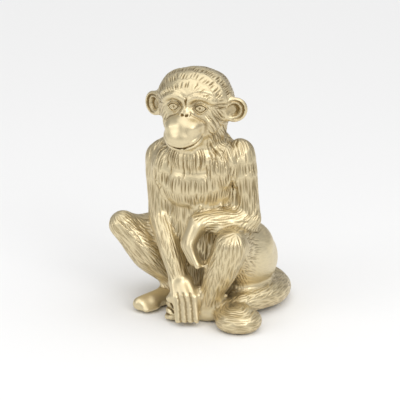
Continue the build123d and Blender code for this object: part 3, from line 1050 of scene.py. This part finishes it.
class FIGURINE_OT_fur(bpy.types.Operator):
    """Lays the fringes of fur and carves the strokes in them"""

    bl_idname = "figurine.fur"
    bl_label = "Fur"

    def execute(self, context):
        mesh = blank_object().data
        points, normals = points_of(mesh), normals_of(mesh)
        marks = casting_marks(points)
        flow, strength, length, fringe = flow_of_fur(points / MM, normals, marks)
        # Each fringe rises to its tip and drops to the root of the next
        rise = np.where(fringe >= 0, np.clip(fringe, 0, 1) * (1 - ease(0.86, 1.0, fringe)), 0)
        drop = np.where(fringe >= 0, ease(0.9, 1.0, fringe) + 1 - ease(0, 0.08, fringe), 0)
        set_points(mesh, points + normals * (rise * strength * sizes().tier_height)[:, None])
        # Painted shade under each fringe, where it drops to the root of the next
        paint_shade(mesh, np.clip(drop, 0, 1) * strength * 0.15)
        cut_lines(mesh, self.strokes(points, flow, strength, length, fringe))
        mark = mesh.attributes.new("casting", "INT", "POINT")
        mark.data.foreach_set("value", marks.astype(np.int32))
        return {"FINISHED"}

    def strokes(self, points, flow, strength, length, fringe):
        """Lines combed along the flow, no two nearer than the pitch."""
        rng = np.random.default_rng(sizes().seed)
        tree = tree_of(points)
        taken = np.zeros(len(points), bool)
        step = STROKE_STEP * MM
        lines = []
        for index in rng.permutation(len(points)):
            if taken[index] or strength[index] < THIN_FUR or fringe[index] > FRINGE_ROOT:
                continue
            power = float(strength[index])
            run = length[index] * rng.uniform(0.75, 1.15)
            spot, at = Vector(points[index]), index
            line = [spot]
            for _ in range(int(run * MM / step)):
                spot, at, _ = tree.find(spot + Vector(flow[at]) * step)
                if strength[at] < 0.1:
                    break
                line.append(spot)
            for spot in line[::2]:
                for _, near, _ in tree.find_range(spot, sizes().stroke_pitch):
                    taken[near] = True
            if len(line) >= SHORTEST_STROKE:
                depth = sizes().stroke_depth * power * rng.uniform(0.6, 1.15)
                lines.append((line, sizes().stroke_half_width * rng.uniform(0.85, 1.2), depth, True))
        return lines


class FIGURINE_OT_castings(bpy.types.Operator):
    """Divides the finished figure along its glue joints into the castings"""

    bl_idname = "figurine.castings"
    bl_label = "Castings"

    def execute(self, context):
        blank = blank_object()
        mesh = blank.data
        points, normals = points_of(mesh), normals_of(mesh)
        # Painted shade: umber in the gaps between the limbs, as deep as the skin is shut in
        set_float_attribute(mesh, "hollow", self.hollows(mesh, points, normals))
        marks = np.empty(len(points), np.int32)
        mesh.attributes["casting"].data.foreach_get("value", marks)
        faces = np.array([tuple(p.vertices)[:3] for p in mesh.polygons])
        votes = np.zeros((len(points), len(CASTINGS)), np.float32)
        votes[np.arange(len(points)), marks] = 1
        # Neighbours vote a few times, which smooths the joints
        for _ in range(VOTE_ROUNDS):
            in_face = votes[faces].sum(axis=1)
            votes[:] = 0
            for corner in range(3):
                np.add.at(votes, faces[:, corner], in_face)
            votes /= np.maximum(votes.sum(axis=1), 1e-6)[:, None]
        owner = votes[faces].sum(axis=1).argmax(axis=1).astype(np.int32)
        self.gather(mesh, owner)
        paint = gold_paint()
        mesh.materials.clear()
        for _ in CASTINGS:
            mesh.materials.append(paint)
        mesh.polygons.foreach_set("material_index", owner)
        mesh.attributes.new("owner", "INT", "FACE").data.foreach_set("value", owner)
        pieces = separate(blank, "MATERIAL")
        if len(pieces) != len(CASTINGS):
            raise RuntimeError("the figure didn't divide into its castings")
        for piece in pieces:
            name = CASTINGS[piece.data.attributes["owner"].data[0].value]
            self.close(piece)
            piece.name = "gold_" + name
            piece.data.materials.clear()
            piece.data.materials.append(paint)
            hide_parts(name)
            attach(piece, "root")
        return {"FINISHED"}

    def gather(self, mesh, owner):
        """Gives each patch that is cut off from its own casting to the casting round it."""
        edges = np.empty(len(mesh.loops), np.int32)
        mesh.loops.foreach_get("edge_index", edges)
        corners = np.empty(len(mesh.polygons), np.int32)
        mesh.polygons.foreach_get("loop_total", corners)
        order = np.argsort(edges, kind="stable")
        face = np.repeat(np.arange(len(owner)), corners)[order]
        shared = edges[order][1:] == edges[order][:-1]
        first, second = face[:-1][shared], face[1:][shared]
        # Faces of one casting that touch take the lowest face number among them
        same = owner[first] == owner[second]
        patch, before = np.arange(len(owner)), None
        while before is None or (patch != before).any():
            before = patch
            patch = before.copy()
            np.minimum.at(patch, first[same], before[second[same]])
            np.minimum.at(patch, second[same], before[first[same]])
            patch = patch[patch]
        size = np.bincount(patch, minlength=len(owner))
        stray = np.ones(len(owner), bool)
        for number in range(len(CASTINGS)):
            largest = patch[np.where(owner == number, size[patch], 0).argmax()]
            stray &= patch != largest
        for _ in range(len(owner)):
            if not stray.any():
                return
            for inner, outer in ((first, second), (second, first)):
                rim = stray[inner] & ~stray[outer]
                owner[inner[rim]] = owner[outer[rim]]
                stray[inner[rim]] = False
        raise RuntimeError("a patch of the figure touches no casting")

    def close(self, piece):
        """Gives the casting a wall, closed at its joints, and thins the net on the inside."""
        select_only(piece)
        inside = piece.vertex_groups.new(name="inside")
        modify(piece, "SOLIDIFY", thickness=sizes().wall, offset=-1, shell_vertex_group=inside.name)
        thinning = {"vertex_group": inside.name, "vertex_group_factor": INSIDE_FIRST}
        modify(piece, "DECIMATE", ratio=KEPT_SHARE, **thinning)
        piece.vertex_groups.clear()
        bpy.ops.object.shade_smooth()

    def hollows(self, mesh, points, normals):
        """How shut in each point is, from 0 in the open to 1 deep between the limbs, which sets the umber
        painted shade.
        """
        skin = BVHTree.FromPolygons(
            [Vector(p) for p in points], [tuple(p.vertices) for p in mesh.polygons]
        )
        rng = np.random.default_rng(sizes().seed)
        chosen = rng.choice(len(points), min(len(points), FEELER_COUNT), replace=False)
        rays = rng.normal(size=(len(chosen), FEELER_RAYS, 3))
        reach = FEELER_REACH * MM
        shut = []
        for index, bundle in zip(chosen, rays):
            normal = normals[index]
            start = Vector(points[index] + normal * FEELER_START * MM)
            bundle = bundle / np.linalg.norm(bundle, axis=1)[:, None] + normal
            hits = 0.0
            for ray in bundle:
                distance = skin.ray_cast(start, Vector(ray), reach)[3]
                hits += 0 if distance is None else 1 - 0.6 * distance / reach
            shut.append(hits / len(bundle))
        shut = np.array(shut)
        tree = tree_of(points[chosen])
        near = [[found[1] for found in tree.find_n(p, 3)] for p in points]
        return 0.9 * ease(UMBER_FROM, UMBER_FULL, shut[np.array(near)].mean(axis=1))


class FIGURINE_OT_felts(bpy.types.Operator):
    """Adds the felt pads under the base, feet and tail"""

    bl_idname = "figurine.felts"
    bl_label = "Felt pads"

    def execute(self, context):
        wool = felt_wool()
        for name in FELTS:
            low, high = (Vector(c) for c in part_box(name))
            radius = (high.x - low.x) / 2
            thickness = high.z - low.z
            bpy.ops.object.select_all(action="DESELECT")
            bpy.ops.mesh.primitive_cylinder_add(
                vertices=72, radius=radius, depth=thickness, location=(low + high) / 2
            )
            pad = context.object
            bpy.ops.object.transform_apply(location=True, rotation=True, scale=True)
            bpy.ops.object.mode_set(mode="EDIT")
            bpy.ops.mesh.select_all(action="SELECT")
            bpy.ops.mesh.select_mode(type="FACE")
            bpy.ops.object.mode_set(mode="OBJECT")
            for face in pad.data.polygons:
                face.select = abs(face.normal.z) > 0.9
            bpy.ops.object.mode_set(mode="EDIT")
            for _ in range(4):
                bpy.ops.mesh.inset(thickness=radius / 6)
            bpy.ops.object.mode_set(mode="OBJECT")
            # The cut rim is soft and a little fluffy
            modify(pad, "BEVEL", width=thickness * 0.22, segments=3)
            rng = np.random.default_rng(sizes().seed)
            points = points_of(pad.data)
            points += rng.normal(scale=0.03 * MM, size=points.shape)
            set_points(pad.data, np.clip(points, np.array(low), np.array(high)))
            bpy.ops.object.shade_smooth_by_angle(angle=math.radians(50))
            pad.name = "wool_" + name
            pad.data.materials.append(wool)
            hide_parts(name)
            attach(pad, "root")
        return {"FINISHED"}


class FIGURINE_OT_underside(bpy.types.Operator):
    """Gives the closing plate and the dowels their finish"""

    bl_idname = "figurine.underside"
    bl_label = "Plate and dowels"

    def execute(self, context):
        plastic, steel = plate_plastic(), dowel_steel()
        for names, material in ((("closing_plate",), plastic), (DOWELS, steel)):
            for name in names:
                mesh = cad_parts[name].data
                mesh.materials.clear()
                mesh.materials.append(material)
        return {"FINISHED"}


class FIGURINE_PT_panel(bpy.types.Panel):
    """Lists the steps that dress the figurine"""

    bl_idname = "FIGURINE_PT_panel"
    bl_label = "Figurine"
    bl_space_type = "VIEW_3D"
    bl_region_type = "UI"
    bl_category = "Figurine"

    def draw(self, context):
        for group in ("figurine_sizes", "figurine_colours", "figurine_stage"):
            settings = getattr(context.scene, group)
            for name in settings.__annotations__:
                self.layout.prop(settings, name)
        for step in STEPS:
            self.layout.operator(step.bl_idname)


STEPS = (
    FIGURINE_OT_stage,
    FIGURINE_OT_blank,
    FIGURINE_OT_face,
    FIGURINE_OT_ears,
    FIGURINE_OT_hands_feet,
    FIGURINE_OT_fur,
    FIGURINE_OT_castings,
    FIGURINE_OT_felts,
    FIGURINE_OT_underside,
)
CLASSES = (FigurineSizes, FigurineColours, FigurineStage) + STEPS + (FIGURINE_PT_panel,)


def register():
    """Adds the classes and their settings."""
    for cls in CLASSES:
        bpy.utils.register_class(cls)
    bpy.types.Scene.figurine_sizes = bpy.props.PointerProperty(type=FigurineSizes)
    bpy.types.Scene.figurine_colours = bpy.props.PointerProperty(type=FigurineColours)
    bpy.types.Scene.figurine_stage = bpy.props.PointerProperty(type=FigurineStage)


def unregister():
    """Takes the settings and classes away again."""
    del bpy.types.Scene.figurine_stage
    del bpy.types.Scene.figurine_colours
    del bpy.types.Scene.figurine_sizes
    for cls in reversed(CLASSES):
        bpy.utils.unregister_class(cls)


def main():
    """Runs every step in order."""
    register()
    bpy.ops.figurine.stage()
    bpy.ops.figurine.blank()
    bpy.ops.figurine.face()
    bpy.ops.figurine.ears()
    bpy.ops.figurine.hands_feet()
    bpy.ops.figurine.fur()
    bpy.ops.figurine.castings()
    bpy.ops.figurine.felts()
    bpy.ops.figurine.underside()


if __name__ == "__main__":
    main()
